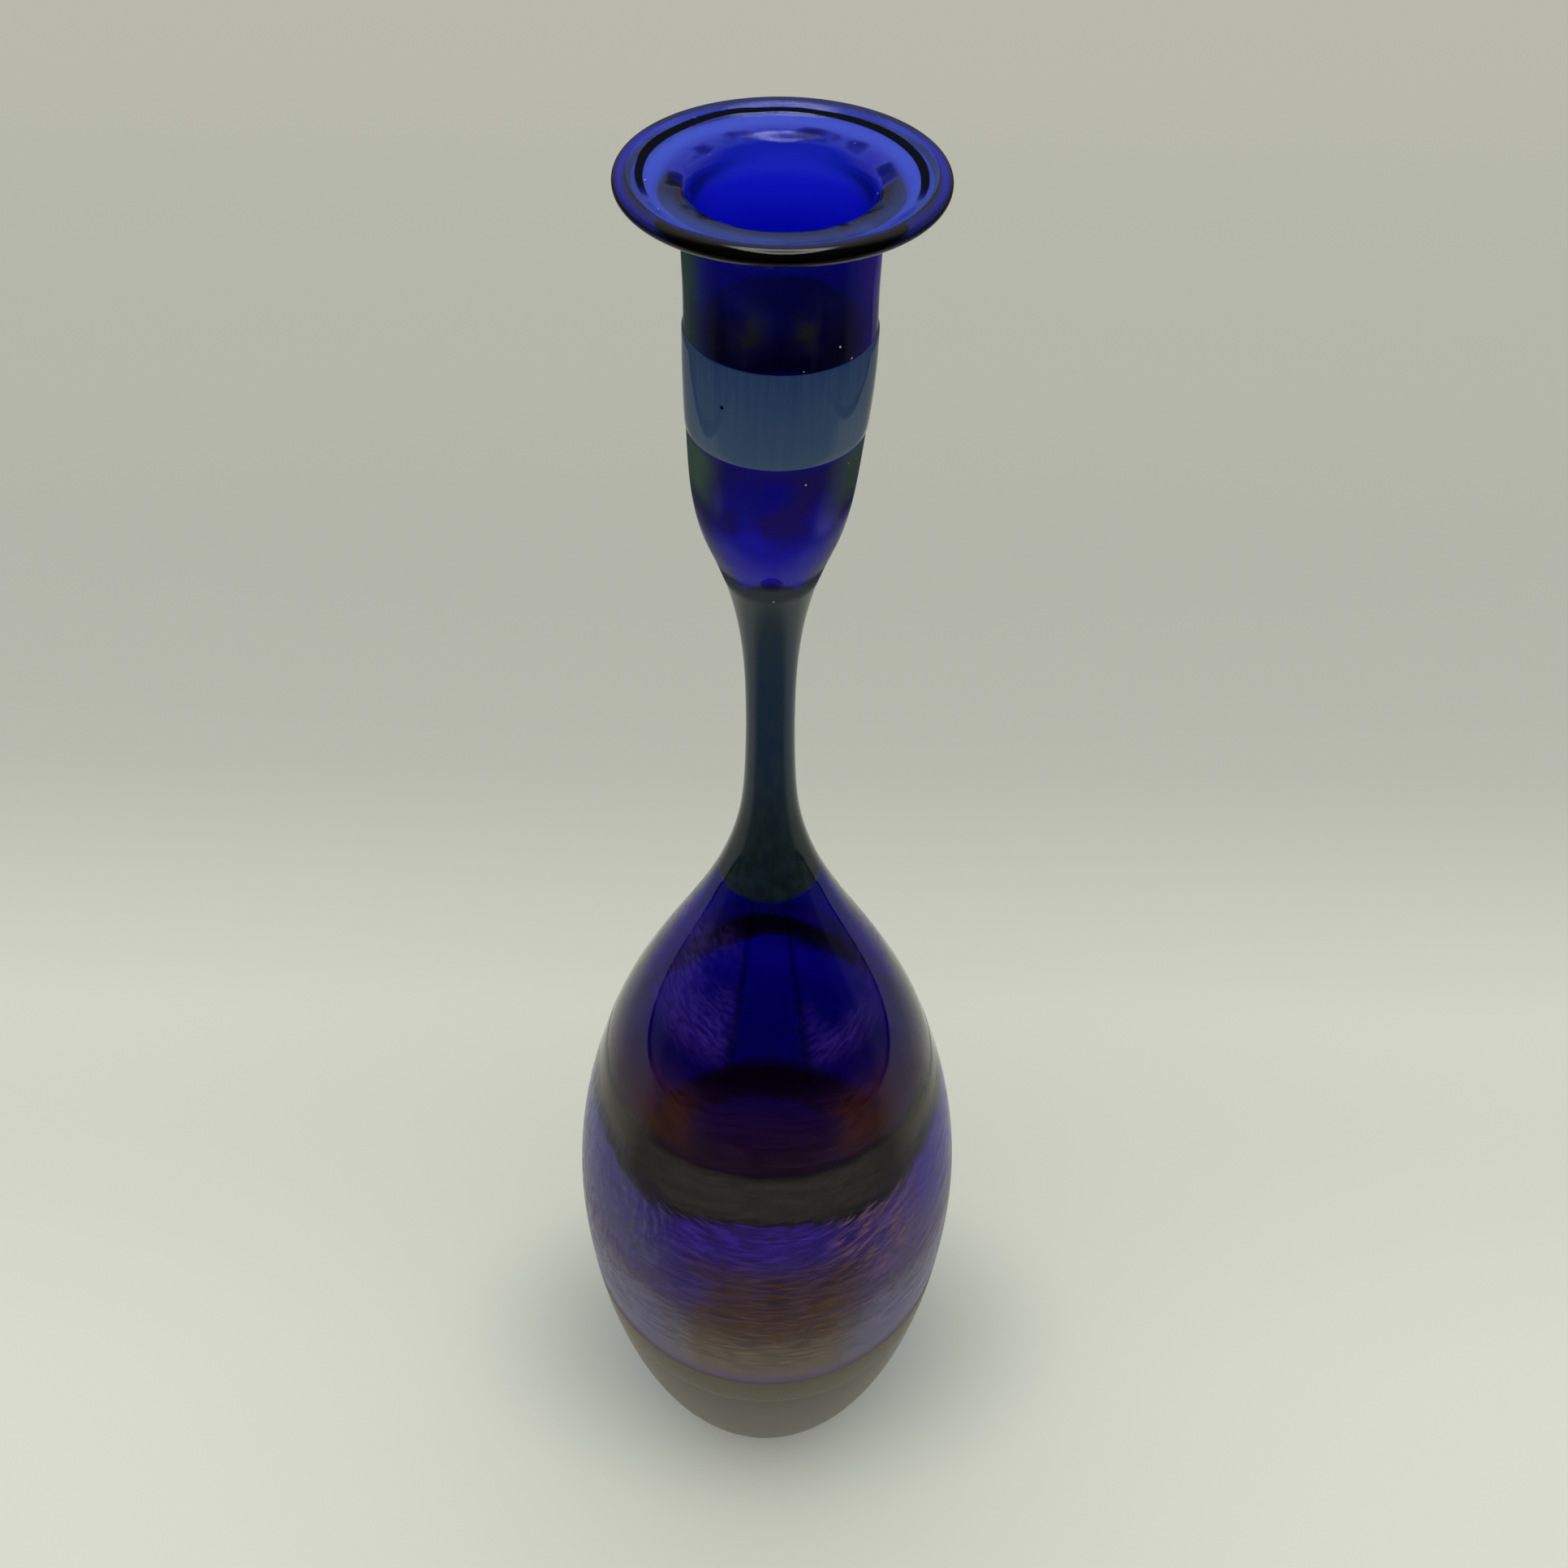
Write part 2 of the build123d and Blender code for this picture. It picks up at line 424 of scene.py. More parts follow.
def rim_skin():
    """The rim's upper face, from inside the mouth to just inside the top of the lip."""
    plate = plate_line()[1:]
    turn = arc(MOUTH_CENTRE, MOUTH_ROUND, 158, 90, 12)
    return np.concatenate([turn, plate[plate[:, 1] < LIP_HEIGHT + 0.93 * LIP_RADIUS]])


print("places on the rim's upper face", len(rim_skin()))

# %% [markdown]
# A turned shape is one rule: take an outline and turn it about the axis. Geometry Nodes do this for the wall,
# the stripes and the films with one shared tree. A grid's rows stand for places on the outline, and its
# columns for steps of the turn. The same tree adds what the maker's hand leaves: the cup leans by about a
# millimetre, and the surface wanders a little. All pieces share that rule, so a stripe stays in its seat.

# %% The turning tree
TURN_STEPS = 160
LEAN = 1.0 * MM
LEAN_START = 300 * MM
WANDER = 0.25 * MM
WANDER_SCALE = 14.0
WANDER_SEED = 4.0
WANDER_RISE = (10 * MM, 60 * MM)
MELT = 0.002 * MM
CREASE = math.radians(38)


def leaned(tree, height, start, end, reach):
    """A soft shift along X that begins at one height and is whole at another."""
    bend = height.ease(start, end, 0.0, reach, "SMOOTHERSTEP")
    return add_node(tree, "ShaderNodeCombineXYZ", {"X": bend}).outputs[0]


def off_axis(tree, place):
    """How a place lies off the axis, and the direction away from the axis there."""
    flat = vector_sum(tree, "MULTIPLY", place, (1, 1, 0))
    return flat, vector_sum(tree, "NORMALIZE", flat)


def turned_outline(tree, given, position):
    """The outline's places laid on a grid and turned round Z, a column for each step."""
    outline = add_node(tree, "GeometryNodeObjectInfo", {"Object": given["Outline"]}).outputs["Geometry"]
    size = add_node(tree, "GeometryNodeAttributeDomainSize", {"Geometry": outline})
    places = size.outputs["Point Count"]
    values = {"Vertices X": given["Steps Round"] + 1, "Vertices Y": places}
    grid = add_node(tree, "GeometryNodeMeshGrid", values)
    index = Measure(tree.nodes.new("GeometryNodeInputIndex").outputs[0])
    column = ((index + 0.5) / places).worked("FLOOR")
    values = {"Geometry": outline, "Index": index - column * places}
    sample = add_node(tree, "GeometryNodeSampleIndex", values, data_type="FLOAT_VECTOR")
    tree.links.new(position, sample.inputs["Value"])
    angle = column.worked("MODULO", given["Steps Round"]) * math.tau / given["Steps Round"]
    values = {"Vector": sample.outputs[0], "Angle": angle}
    spun = add_node(tree, "ShaderNodeVectorRotate", values, rotation_type="Z_AXIS")
    values = {"Geometry": grid.outputs["Mesh"], "Position": spun.outputs[0]}
    return add_node(tree, "GeometryNodeSetPosition", values).outputs[0]


def hand_shift(tree, given, position):
    """How far the maker's hand moved each place: the lean of the top and the wander of the wall."""
    _, _, height = apart(tree, position)
    values = {"Vector": position, "W": given["Seed"], "Scale": WANDER_SCALE, "Detail": 1.0}
    noise = Measure(add_node(tree, "ShaderNodeTexNoise", values, noise_dimensions="4D").outputs["Fac"])
    inward = noise * given["Wander"] * -1 * height.ease(*WANDER_RISE, steps="LINEAR")
    _, away = off_axis(tree, position)
    lean = leaned(tree, height, given["Lean Start"], given["Lean End"], given["Lean"])
    return vector_sum(tree, "ADD", lean, vector_sum(tree, "MULTIPLY", away, inward))


def turning_tree():
    """A geometry tree that turns an outline round Z, leans its top and lets its surface wander."""
    tree = bpy.data.node_groups.new("Turned glass", "GeometryNodeTree")
    sockets = {"Geometry": "Geometry", "Outline": "Object", "Steps Round": "Int", "Finish": "Material"}
    sockets |= dict.fromkeys(("Lean", "Lean Start", "Lean End", "Wander", "Seed", "Melt"), "Float")
    for name, kind in sockets.items():
        tree.interface.new_socket(name, in_out="INPUT", socket_type="NodeSocket" + kind)
    tree.interface.new_socket("Geometry", in_out="OUTPUT", socket_type="NodeSocketGeometry")
    given = named(tree.nodes.new("NodeGroupInput").outputs[:-1])
    position = tree.nodes.new("GeometryNodeInputPosition").outputs[0]
    fold = Measure(tree.nodes.new("GeometryNodeInputMeshEdgeAngle").outputs["Unsigned Angle"])
    glass = turned_outline(tree, given, position)
    steps = (
        ("SetPosition", {"Offset": hand_shift(tree, given, position)}, {}),
        ("MergeByDistance", {"Distance": given["Melt"]}, {}),
        ("SetShadeSmooth", {}, {}),
        ("SetShadeSmooth", {"Selection": fold.worked("GREATER_THAN", CREASE), "Shade Smooth": False},
         {"domain": "EDGE"}),
        ("RealizeInstances", {}, {}),
        ("SetMaterial", {"Material": given["Finish"]}, {}),
    )
    for kind, values, settings in steps:
        values = {"Geometry": glass, **values}
        glass = add_node(tree, "GeometryNode" + kind, values, **settings).outputs[0]
    add_node(tree, "NodeGroupOutput", {"Geometry": glass})
    return tree


turned_glass = turning_tree()
print("nodes in the turning tree", len(turned_glass.nodes))


# %% Turning an outline
def linked(name, mesh):
    """A new object in the scene that shows a mesh."""
    holder = bpy.data.objects.new(name, mesh)
    bpy.context.scene.collection.objects.link(holder)
    return holder


def plain_mesh(holder, name):
    """The evaluated result of an object's modifiers as a new object with a plain mesh."""
    bpy.context.view_layer.update()
    evaluated = holder.evaluated_get(bpy.context.evaluated_depsgraph_get())
    mesh = bpy.data.meshes.new_from_object(evaluated)
    mesh.name = name
    holder.modifiers.clear()
    bpy.data.objects.remove(holder)
    return linked(name, mesh)


def enclosed_volume(mesh):
    """The volume that a closed mesh holds: positive when its faces point outwards."""
    shape = bmesh.new()
    shape.from_mesh(mesh)
    volume = shape.calc_volume(signed=True)
    shape.free()
    return volume


def turn_outline(name, places, finish):
    """A piece of glass made by turning an outline round the vase's axis."""
    points = bpy.data.meshes.new("outline")
    points.from_pydata([(radius, 0, height) for radius, height in places], [], [])
    outline = linked("outline", points)
    holder = linked(name + "_source", bpy.data.meshes.new(name + "_source"))
    modifier = holder.modifiers.new("Turned glass", "NODES")
    modifier.node_group = turned_glass
    values = {
        "Outline": outline, "Steps Round": TURN_STEPS, "Lean": LEAN, "Lean Start": LEAN_START,
        "Lean End": THROAT_HEIGHT, "Wander": WANDER, "Seed": WANDER_SEED, "Melt": MELT, "Finish": finish,
    }
    for socket in turned_glass.interface.items_tree:
        if socket.name in values:
            modifier[socket.identifier] = values[socket.name]
    piece = plain_mesh(holder, name)
    bpy.data.objects.remove(outline)
    if enclosed_volume(piece.data) < 0:
        piece.data.flip_normals()
    volume = enclosed_volume(piece.data) / MM ** 3 / 1000
    print(name, "holds", round(volume, 2), "ml of glass in", len(piece.data.polygons), "faces")
    return piece


# %% [markdown]
# Blown glass isn't one flat colour. The maker wipes and turns it, the stripes smear a little, and years of
# use leave marks. Each such effect is a small shader group that gives a mask or a height, so that the wall,
# the stripes and the films share it. All of them read the object's own coordinates, so they travel with the
# vase. The first group tells where on the vase a point is, with the lean of the cup taken out.

# %% A group for the place on the vase
def shader_group(name, inputs, outputs):
    """A new shader group with named sockets, and the measures that its input node gives."""
    group = bpy.data.node_groups.new(name, "ShaderNodeTree")
    for label, value in inputs.items():
        socket = group.interface.new_socket(label, in_out="INPUT", socket_type="NodeSocketFloat")
        socket.default_value = value
    for label, kind in outputs.items():
        group.interface.new_socket(label, in_out="OUTPUT", socket_type="NodeSocket" + kind)
    return group, named(group.nodes.new("NodeGroupInput").outputs[:-1])


def use_group(tree, group, **values):
    """What a shader group gives when it is placed in another tree with its own values."""
    node = add_node(tree, "ShaderNodeGroup", node_tree=group)
    for name, value in values.items():
        node.inputs[name].default_value = value
    return named(node.outputs)


def place_group():
    """Height and radius in millimetres, and the direction away from the vase's own axis."""
    outputs = dict.fromkeys(("Height", "Radius", "Side", "Aside", "Front"), "Float")
    group, _ = shader_group("Place on the vase", {}, outputs | {"Away": "Vector", "Place": "Vector"})
    leaning = group.nodes.new("ShaderNodeTexCoord").outputs["Object"]
    _, _, height = apart(group, leaning)
    place = vector_sum(group, "ADD", leaning, leaned(group, height, LEAN_START, THROAT_HEIGHT, -LEAN))
    flat, away = off_axis(group, place)
    side, backwards, _ = apart(group, away)
    add_node(group, "NodeGroupOutput", {
        "Height": height / MM, "Radius": length(group, flat) / MM, "Side": side, "Aside": abs(side),
        "Front": backwards * -1, "Away": away, "Place": place})
    return group


place_on_vase = place_group()
print("the place group gives", [item.name for item in place_on_vase.interface.items_tree])

# %% Groups for streaks, patches and waves
STROKE_CURVE = 25.0


def noise_at(group, spot, given, scale, detail, roughness=0.5):
    """Soft noise with a seed of its own."""
    values = {"Vector": spot, "W": given["Seed"], "Scale": scale, "Detail": detail, "Roughness": roughness}
    return Measure(add_node(group, "ShaderNodeTexNoise", values, noise_dimensions="4D").outputs["Fac"])


def wiped_group():
    """Soft streaks left by wiping and turning the hot glass: long round the vase and short up it."""
    inputs = {"Fineness": 60.0, "Length": 1.4, "Slant": 0.0, "Seed": 0.0, "Low": 0.46, "High": 0.66}
    group, given = shader_group("Wiped streaks", inputs, {"Mask": "Float"})
    where = use_group(group, place_on_vase)
    side, _, _ = apart(group, where["Place"])
    lifted = side * side * STROKE_CURVE * given["Slant"] + where["Height"] * MM
    rise = add_node(group, "ShaderNodeCombineXYZ", {"Z": lifted * given["Fineness"]}).outputs[0]
    around = vector_sum(group, "MULTIPLY", where["Away"], given["Length"])
    noise = noise_at(group, vector_sum(group, "ADD", around, rise), given, 1.0, 5.0, 0.62)
    add_node(group, "NodeGroupOutput", {"Mask": noise.ease(given["Low"], given["High"])})
    return group


def patch_group():
    """Large soft patches, for colour that drifts over the glass."""
    inputs = {"Size": 12.0, "Seed": 0.0, "Low": 0.42, "High": 0.6}
    group, given = shader_group("Soft patches", inputs, {"Mask": "Float"})
    noise = noise_at(group, use_group(group, place_on_vase)["Place"], given, given["Size"], 2.0)
    add_node(group, "NodeGroupOutput", {"Mask": noise.ease(given["Low"], given["High"])})
    return group


def hand_waves_group():
    """The slow waves of hand-blown glass, as a height for a bump."""
    group, given = shader_group("Hand waves", {"Size": 55.0, "Seed": 3.0}, {"Height": "Float"})
    place = use_group(group, place_on_vase)["Place"]
    drawn = vector_sum(group, "MULTIPLY", place, (1, 1, 0.6))
    add_node(group, "NodeGroupOutput", {"Height": noise_at(group, drawn, given, given["Size"], 1.0)})
    return group


wiped_streaks, soft_patches, hand_waves = wiped_group(), patch_group(), hand_waves_group()


def streaks(tree, fineness, run, slant, seed, low, high):
    """A mask of wiped streaks: fineness counts them up the vase, run is how they vary round it."""
    values = {"Fineness": fineness, "Length": run, "Slant": slant, "Seed": seed, "Low": low, "High": high}
    return use_group(tree, wiped_streaks, **values)["Mask"]


def patches(tree, size, seed, low=0.42, high=0.6):
    """A mask of soft patches. A larger size makes them smaller and closer."""
    return use_group(tree, soft_patches, Size=size, Seed=seed, Low=low, High=high)["Mask"]


print("shader groups", [group.name for group in bpy.data.node_groups if group.bl_idname == "ShaderNodeTree"])

# %% Helpers for finishes
VASE_HEIGHT = cad_high.z / MM


def new_material(name):
    """A material with an empty node tree."""
    material = bpy.data.materials.new(name)
    material.use_nodes = True
    material.node_tree.nodes.clear()
    return material, material.node_tree


def colour_ramp(tree, share, stops, steps="LINEAR"):
    """A colour that changes along a share, from (share, colour) pairs."""
    ramp = add_node(tree, "ShaderNodeValToRGB", {"Fac": share})
    ramp.color_ramp.interpolation = steps
    elements = ramp.color_ramp.elements
    while len(elements) < len(stops):
        elements.new(0.5)
    for element, (at, colour) in zip(elements, stops):
        element.position = at
        element.color = (*colour, 1)
    return ramp.outputs["Color"]


def rise_of(node):
    """The lowest and highest place of a node of the frame, in millimetres."""
    return [height / MM for height in reach_of(node)]


def height_ramp(tree, where, stops):
    """A colour that changes up the vase, from (height in millimetres, colour) pairs."""
    return colour_ramp(tree, where["Height"] / VASE_HEIGHT, [(at / VASE_HEIGHT, tint) for at, tint in stops])


def make_finish(name, look):
    """A material whose shader takes the values that a look gives for each place on the vase."""
    material, tree = new_material(name)
    surface = add_node(tree, "ShaderNodeBsdfPrincipled", look(tree, use_group(tree, place_on_vase)))
    add_node(tree, "ShaderNodeOutputMaterial", {"Surface": surface.outputs[0]})
    print(name, "has", len(tree.nodes), "nodes")
    return material


def waves_normal(tree, depth):
    """A normal that carries the slow waves of the glass, depth in metres."""
    values = {"Strength": 1.0, "Distance": depth, "Height": use_group(tree, hand_waves)["Height"]}
    return add_node(tree, "ShaderNodeBump", values).outputs["Normal"]


print("heights on the vase run to", round(VASE_HEIGHT, 1), "mm")

# %% [markdown]
# Cobalt glass takes out red and green within a millimetre or two and lets blue through, so the thin rim looks
# bright blue and two walls of the bulb look deep violet blue. That is what Volume Absorption does, with one
# plain colour and density. The surface is nearly clear and only tints what passes it: browner glass in the
# gather at the foot, olive drawn out from the stripes, and painted shade: darker tints above the belly stripe
# and a darker band on the back round the foot stripe. Two dark lines on the shoulder's front are painted
# reflections of the light box's dark edges, and the lip is darkened at its front, as painted shade, and at
# its outer edge all round.

# %% Cobalt glass
COBALT_DENSITY = 2000.0
COBALT_COLOUR = (0.15, 0.25, 0.815, 1.0)
GLASS_IOR = 1.5
GLASS_CLEARNESS = 0.996

# Among these tints, the darker, redder ones from 171 to 187 mm, above the belly stripe, are painted shade.
WALL_TINTS_AND_SHADE = (
    (0, (0.70, 0.55, 0.30)), (40, (0.90, 0.75, 0.50)), (76, (1.00, 0.80, 0.60)),
    (92, (0.80, 0.50, 1.00)), (100, (0.90, 0.65, 0.70)), (122, (0.80, 0.42, 0.60)),
    (133, (0.75, 0.36, 0.65)), (144, (0.70, 0.30, 0.90)), (156, (0.70, 0.25, 0.90)),
    (171, (0.80, 0.25, 0.40)), (179, (0.70, 0.20, 0.45)), (187, (0.50, 0.10, 0.90)),
    (200, (0.20, 0.05, 1.00)), (218, (0.30, 0.05, 1.00)), (226, (0.20, 0.10, 0.60)),
    (297, (0.90, 0.60, 1.00)), (304, (0.80, 0.40, 1.00)), (310, (0.45, 0.18, 0.75)),
    (317, (0.20, 0.10, 0.38)), (323, (0.10, 0.05, 0.50)), (340, (0.06, 0.06, 0.25)),
    (346, (0.00, 0.02, 0.60)), (353, (0.10, 0.10, 0.90)), (357, (0.40, 0.55, 1.00)),
)
OLIVE_SMEAR = (0.50, 0.20, 0.12, 1.0)
SMEARED_OUT = {"belly_band": 9, "foot_band": 6}
FOOT_STRIPE_BACK_SHADE = (0.06, 0.05, 0.03, 1.0)
BACK_SHADE_RISE = (74, 78, 93, 97)
BACK_SHADE_SIDE = (-0.3, 0.1)
SEAM_REFLECTION_DARK = (0.05, 0.02, 0.35, 1.0)
SEAM_REFLECTION_SIDES = (-0.30, 0.33)
SEAM_REFLECTION_RISE = (184, 194, 222, 230)
SEAM_REFLECTION_EDGE = (0.015, 0.05)
LIP_VIOLET = (0.45, 0.35, 1.0, 1.0)
LIP_RISE = (355, 357)
LIP_REACH = (19.8, 20.3)
LIP_SHADE_AND_EDGE = (0.16, 0.17, 0.06, 1.0)
LIP_EDGE_REACH = (20.9, 21.2)


def olive_near(where, node, reach):
    """A mask that is one at a stripe and falls to nothing at a reach beyond its edges."""
    low, high = rise_of(node)
    off = abs(where["Height"] - (low + high) / 2) - (high - low) / 2
    return off.fade(0.1 * reach, reach)


def wall_colour(tree, where):
    """The tint of the wall's surface, with painted shade and painted reflections in it."""
    height, radius, front = where["Height"], where["Radius"], where["Front"]
    colour = height_ramp(tree, where, WALL_TINTS_AND_SHADE)
    above, below = (olive_near(where, node, reach) for node, reach in SMEARED_OUT.items())
    smear = above.most(below) * streaks(tree, 120.0, 1.8, -0.2, 11.0, 0.42, 0.56)
    colour = smear.blend(colour, OLIVE_SMEAR)
    # Painted shade: a darker olive band on the back of the wall, round the foot stripe.
    painted_back_shade = height.between(*BACK_SHADE_RISE) * front.fade(*BACK_SHADE_SIDE) * 0.6
    colour = painted_back_shade.blend(colour, FOOT_STRIPE_BACK_SHADE)
    # Painted reflection: two dark lines on the shoulder's front stand for the light box's dark edges.
    left, right = (abs(where["Side"] - line).fade(*SEAM_REFLECTION_EDGE) for line in SEAM_REFLECTION_SIDES)
    drawn = left.most(right) * front.ease(0.0, 0.3) * height.between(*SEAM_REFLECTION_RISE) * 0.8
    colour = drawn.blend(colour, SEAM_REFLECTION_DARK)
    lip = radius.ease(*LIP_REACH) * height.ease(*LIP_RISE)
    # Painted shade on the lip's front, and a dark outer edge all round the lip.
    thread = (lip * front.ease(0.0, 0.95)).most(lip * radius.ease(*LIP_EDGE_REACH))
    return thread.blend(lip.blend(colour, LIP_VIOLET), LIP_SHADE_AND_EDGE)


def cobalt_look(tree, where):
    """Clear blown glass with slow waves."""
    return {"Base Color": wall_colour(tree, where), "Roughness": 0.005, "IOR": GLASS_IOR,
            "Transmission Weight": GLASS_CLEARNESS, "Normal": waves_normal(tree, 0.10 * MM)}


cobalt = make_finish("blown_cobalt", cobalt_look)
inside = add_node(cobalt.node_tree, "ShaderNodeVolumeAbsorption",
                  {"Color": COBALT_COLOUR, "Density": COBALT_DENSITY})
output = cobalt.node_tree.nodes["Material Output"]
cobalt.node_tree.links.new(inside.outputs[0], output.inputs["Volume"])
let_through = [round(math.exp(-(1 - share) * COBALT_DENSITY * CUP_WALL), 3) for share in COBALT_COLOUR[:3]]
print("one wall of the cup lets through", let_through, "of red, green and blue")

# %% [markdown]
# Handled glass has a dull bloom: violet and brown strokes, smudges and flecks that hide part of the clear
# glass under them. A rough coat would blur what shows through, which real bloom doesn't do. So the bloom is
# a film of its own, a fiftieth of a millimetre thick, whose alpha is the share of the glass that it covers.
# The film on the bulb has the most marks. Fine strokes run round it, slanting ones cross its sides, upright
# ones lie at the left, and the belly stripe's dark glass is dragged down below it.

# %% The film on the bulb
BLOOM_TINTS = (
    (2, (0.20, 0.19, 0.16)), (60, (0.22, 0.20, 0.16)), (90.5, (0.16, 0.13, 0.09)),
    (92, (0.16, 0.11, 0.30)), (95, (0.25, 0.20, 0.17)), (108, (0.23, 0.18, 0.12)),
    (116, (0.17, 0.12, 0.11)), (124, (0.12, 0.07, 0.24)), (136, (0.09, 0.05, 0.42)),
    (150, (0.09, 0.04, 0.58)), (158, (0.10, 0.05, 0.45)), (172, (0.16, 0.05, 0.16)),
    (186, (0.12, 0.04, 0.30)), (200, (0.09, 0.045, 0.48)), (216, (0.09, 0.06, 0.40)),
)
BLOOM_LEVELS = (
    (2, 0.45), (50, 0.40), (76, 0.25), (90.5, 0.30), (92, 0.42), (94, 0.27), (110, 0.25), (122, 0.20),
    (136, 0.16), (150, 0.16), (156, 0.12), (162, 0.0), (168, 0.0), (171, 0.035), (182, 0.025), (190, 0.0),
)
BLOOM_LAVENDER = (0.21, 0.19, 0.34, 1.0)
LAVENDER_RISE = (93, 96, 116, 126)
LAVENDER_SIDE = (0.30, 0.60)
BLOOM_PINK = (0.32, 0.17, 0.20, 1.0)
PINK_SIDE = (0.28, 0.45, 0.68, 0.88)
BLOOM_GREY = (0.15, 0.14, 0.30, 1.0)
GREY_SIDE = (-0.62, -0.40)
UNDER_STRIPE = (122, 138, 152, 160)
BLOOM_BROWN = (0.17, 0.09, 0.03, 1.0)
BROWN_RISE = (108, 120, 136, 148)
BROWN_SIDE = (-0.52, -0.25, 0.24, 0.50)
BROWN_WAVER = 0.22
BLOOM_RED = (0.22, 0.06, 0.05, 1.0)
RED_RISE = (168, 172, 180, 189)
RED_SIDE = (0.36, 0.54, 0.76, 0.92)
BAND_SMEAR = (0.036, 0.032, 0.029, 1.0)
SMEAR_REACH = 3.2
SMEAR_SIDES = 3.6
SMEAR_SPREAD = (0.15, 0.50, 0.70, 0.95)
SMEAR_FALL = (0.4, 1.3)
SMEAR_END = (0.52, 0.88)
GRAIN_START = (92, 106)
GRAIN_END = (152, 160)
GRAIN_LEFT = 0.45
GRAIN_DEPTH = 0.55
LEVEL_RISE = (100, 110, 160, 172)
SCRATCH_START = (90, 102)
WISP_RISE = (189, 197, 212, 224)
WISP_SIDE = (0.22, 0.50)
STROKES = {
    "slanting": (1000.0, 8.0, -0.6, 2.0, 0.40, 0.62),
    "upright": (240.0, 34.0, 0.3, 8.0, 0.42, 0.60),
    "level": (800.0, 5.0, 0.1, 14.0, 0.40, 0.60),
    "grain": (900.0, 7.0, 0.12, 21.0, 0.38, 0.62),
}


def stained(tree, where, strokes, left, red):
    """The film's colour: a tint for each height, with lavender, pink, grey, brown and red stains."""
    height, side = where["Height"], where["Side"]
    colour = height_ramp(tree, where, BLOOM_TINTS)
    lavender = height.between(*LAVENDER_RISE) * where["Aside"].ease(*LAVENDER_SIDE)
    under_stripe = height.between(*UNDER_STRIPE)
    pink = under_stripe * side.between(*PINK_SIDE) * strokes["slanting"]
    grey = under_stripe * left * strokes["upright"]
    wavering = (strokes["drifts"] - 0.5) * BROWN_WAVER + side
    brown = height.between(*BROWN_RISE) * wavering.between(*BROWN_SIDE) * (strokes["level"] * 0.5 + 0.5)
    stains = ((lavender, BLOOM_LAVENDER), (pink, BLOOM_PINK), (grey, BLOOM_GREY), (brown, BLOOM_BROWN),
              (red, BLOOM_RED))
    for mask, tint in stains:
        colour = mask.blend(colour, tint)
    return colour


def dragged_stripe(where, strokes):
    """A mask of the belly stripe's glass, dragged down below it and further at the sides."""
    low, high = rise_of("belly_band")
    reach = where["Aside"].between(*SMEAR_SPREAD) * SMEAR_SIDES + SMEAR_REACH
    below = (where["Height"] - low) * -1 / reach + strokes["slanting"] * 0.5
    return below.fade(*SMEAR_FALL) * where["Height"].fade(high - 3, high)


def bulb_cover(tree, where, strokes, left, red):
    """The share of the glass that the strokes cover."""
    height = where["Height"]
    cover = Measure(height_ramp(tree, where, [(at, (share,) * 3) for at, share in BLOOM_LEVELS]))
    low_down = left.blend(strokes["slanting"], strokes["upright"])
    scratched = Measure(height.between(*LEVEL_RISE).blend(strokes["level"], low_down))
    scratched = (scratched - 0.5) * height.ease(*SCRATCH_START, 0.1, 1.0)
    scored = strokes["slanting"] * 0.75 + 0.25
    wisps = height.between(*WISP_RISE) * where["Aside"].ease(*WISP_SIDE) * strokes["drifts"] * scored
    return cover * (scratched * 0.65 + 0.88) + red * scored * 0.045 + wisps * 0.13


def film(colour, cover, roughness):
    """A matt film that hides a share of the glass under it."""
    return {"Base Color": colour, "Roughness": roughness, "Specular IOR Level": 0.0, "Alpha": cover}


def bulb_bloom_look(tree, where):
    """The dull bloom of handled glass on the bulb and shoulder."""
    height, aside = where["Height"], where["Aside"]
    strokes = {name: streaks(tree, *values) for name, values in STROKES.items()}
    strokes["drifts"] = patches(tree, 34.0, 5.0, 0.42, 0.58)
    left = where["Side"].fade(*GREY_SIDE)
    red = height.between(*RED_RISE) * aside.between(*RED_SIDE)
    dragged = dragged_stripe(where, strokes)
    colour = stained(tree, where, strokes, left, red)
    colour = dragged.ease(0.0, 0.12).blend(colour, BAND_SMEAR)
    worked = height.ease(*GRAIN_START) * height.ease(*GRAIN_END, 1.0, GRAIN_LEFT)
    grain = (strokes["grain"] - 0.55) * worked * GRAIN_DEPTH + 1.0
    colour = add_node(tree, "ShaderNodeMixRGB", {"Fac": 1.0, "Color1": colour, "Color2": grain},
                      blend_type="MULTIPLY").outputs["Color"]
    drawn_over = dragged * aside.fade(*SMEAR_END) * (strokes["slanting"] * 0.30 + 0.50)
    return film(colour, bulb_cover(tree, where, strokes, left, red).most(drawn_over), 0.4)


bulb_bloom = make_finish("wiped_bloom", bulb_bloom_look)

# %% [markdown]
# The rim's film holds what lies on its upper face: a pale bloom in patches, one dark ring of painted shade in
# the crease where the plate meets the lip, fading at the front, and dark smudges round the mouth. The cup's
# film is
# faint: its blue and violet drifts are a painted glow of light through the glass, with grey green at its
# sides and olive patches of painted glint above the wrap. It lies on the front only, and runs down over the
# top of the neck's sleeve so that no bright edge shows there.

# %% The film on the rim
RIM_PALE = (0.10, 0.17, 0.66, 1.0)
RIM_SMUDGE_AND_CREASE_SHADE = (0.006, 0.007, 0.012, 1.0)
FLECK_PALE = (0.45, 0.47, 0.45, 1.0)
CREASE_SHADE_START = (18.10, 18.28)
CREASE_SHADE_END = (18.60, 18.82)
CREASE_SHADE_FRONT = (0.10, 0.45)
CREASE_SHADE_WOBBLE = 0.35
CREASE_SHADE_WIDER = 0.45
SMUDGES = (12.2, 12.9, 13.9, 15.6)
PALE_START = (13.4, 16.4)


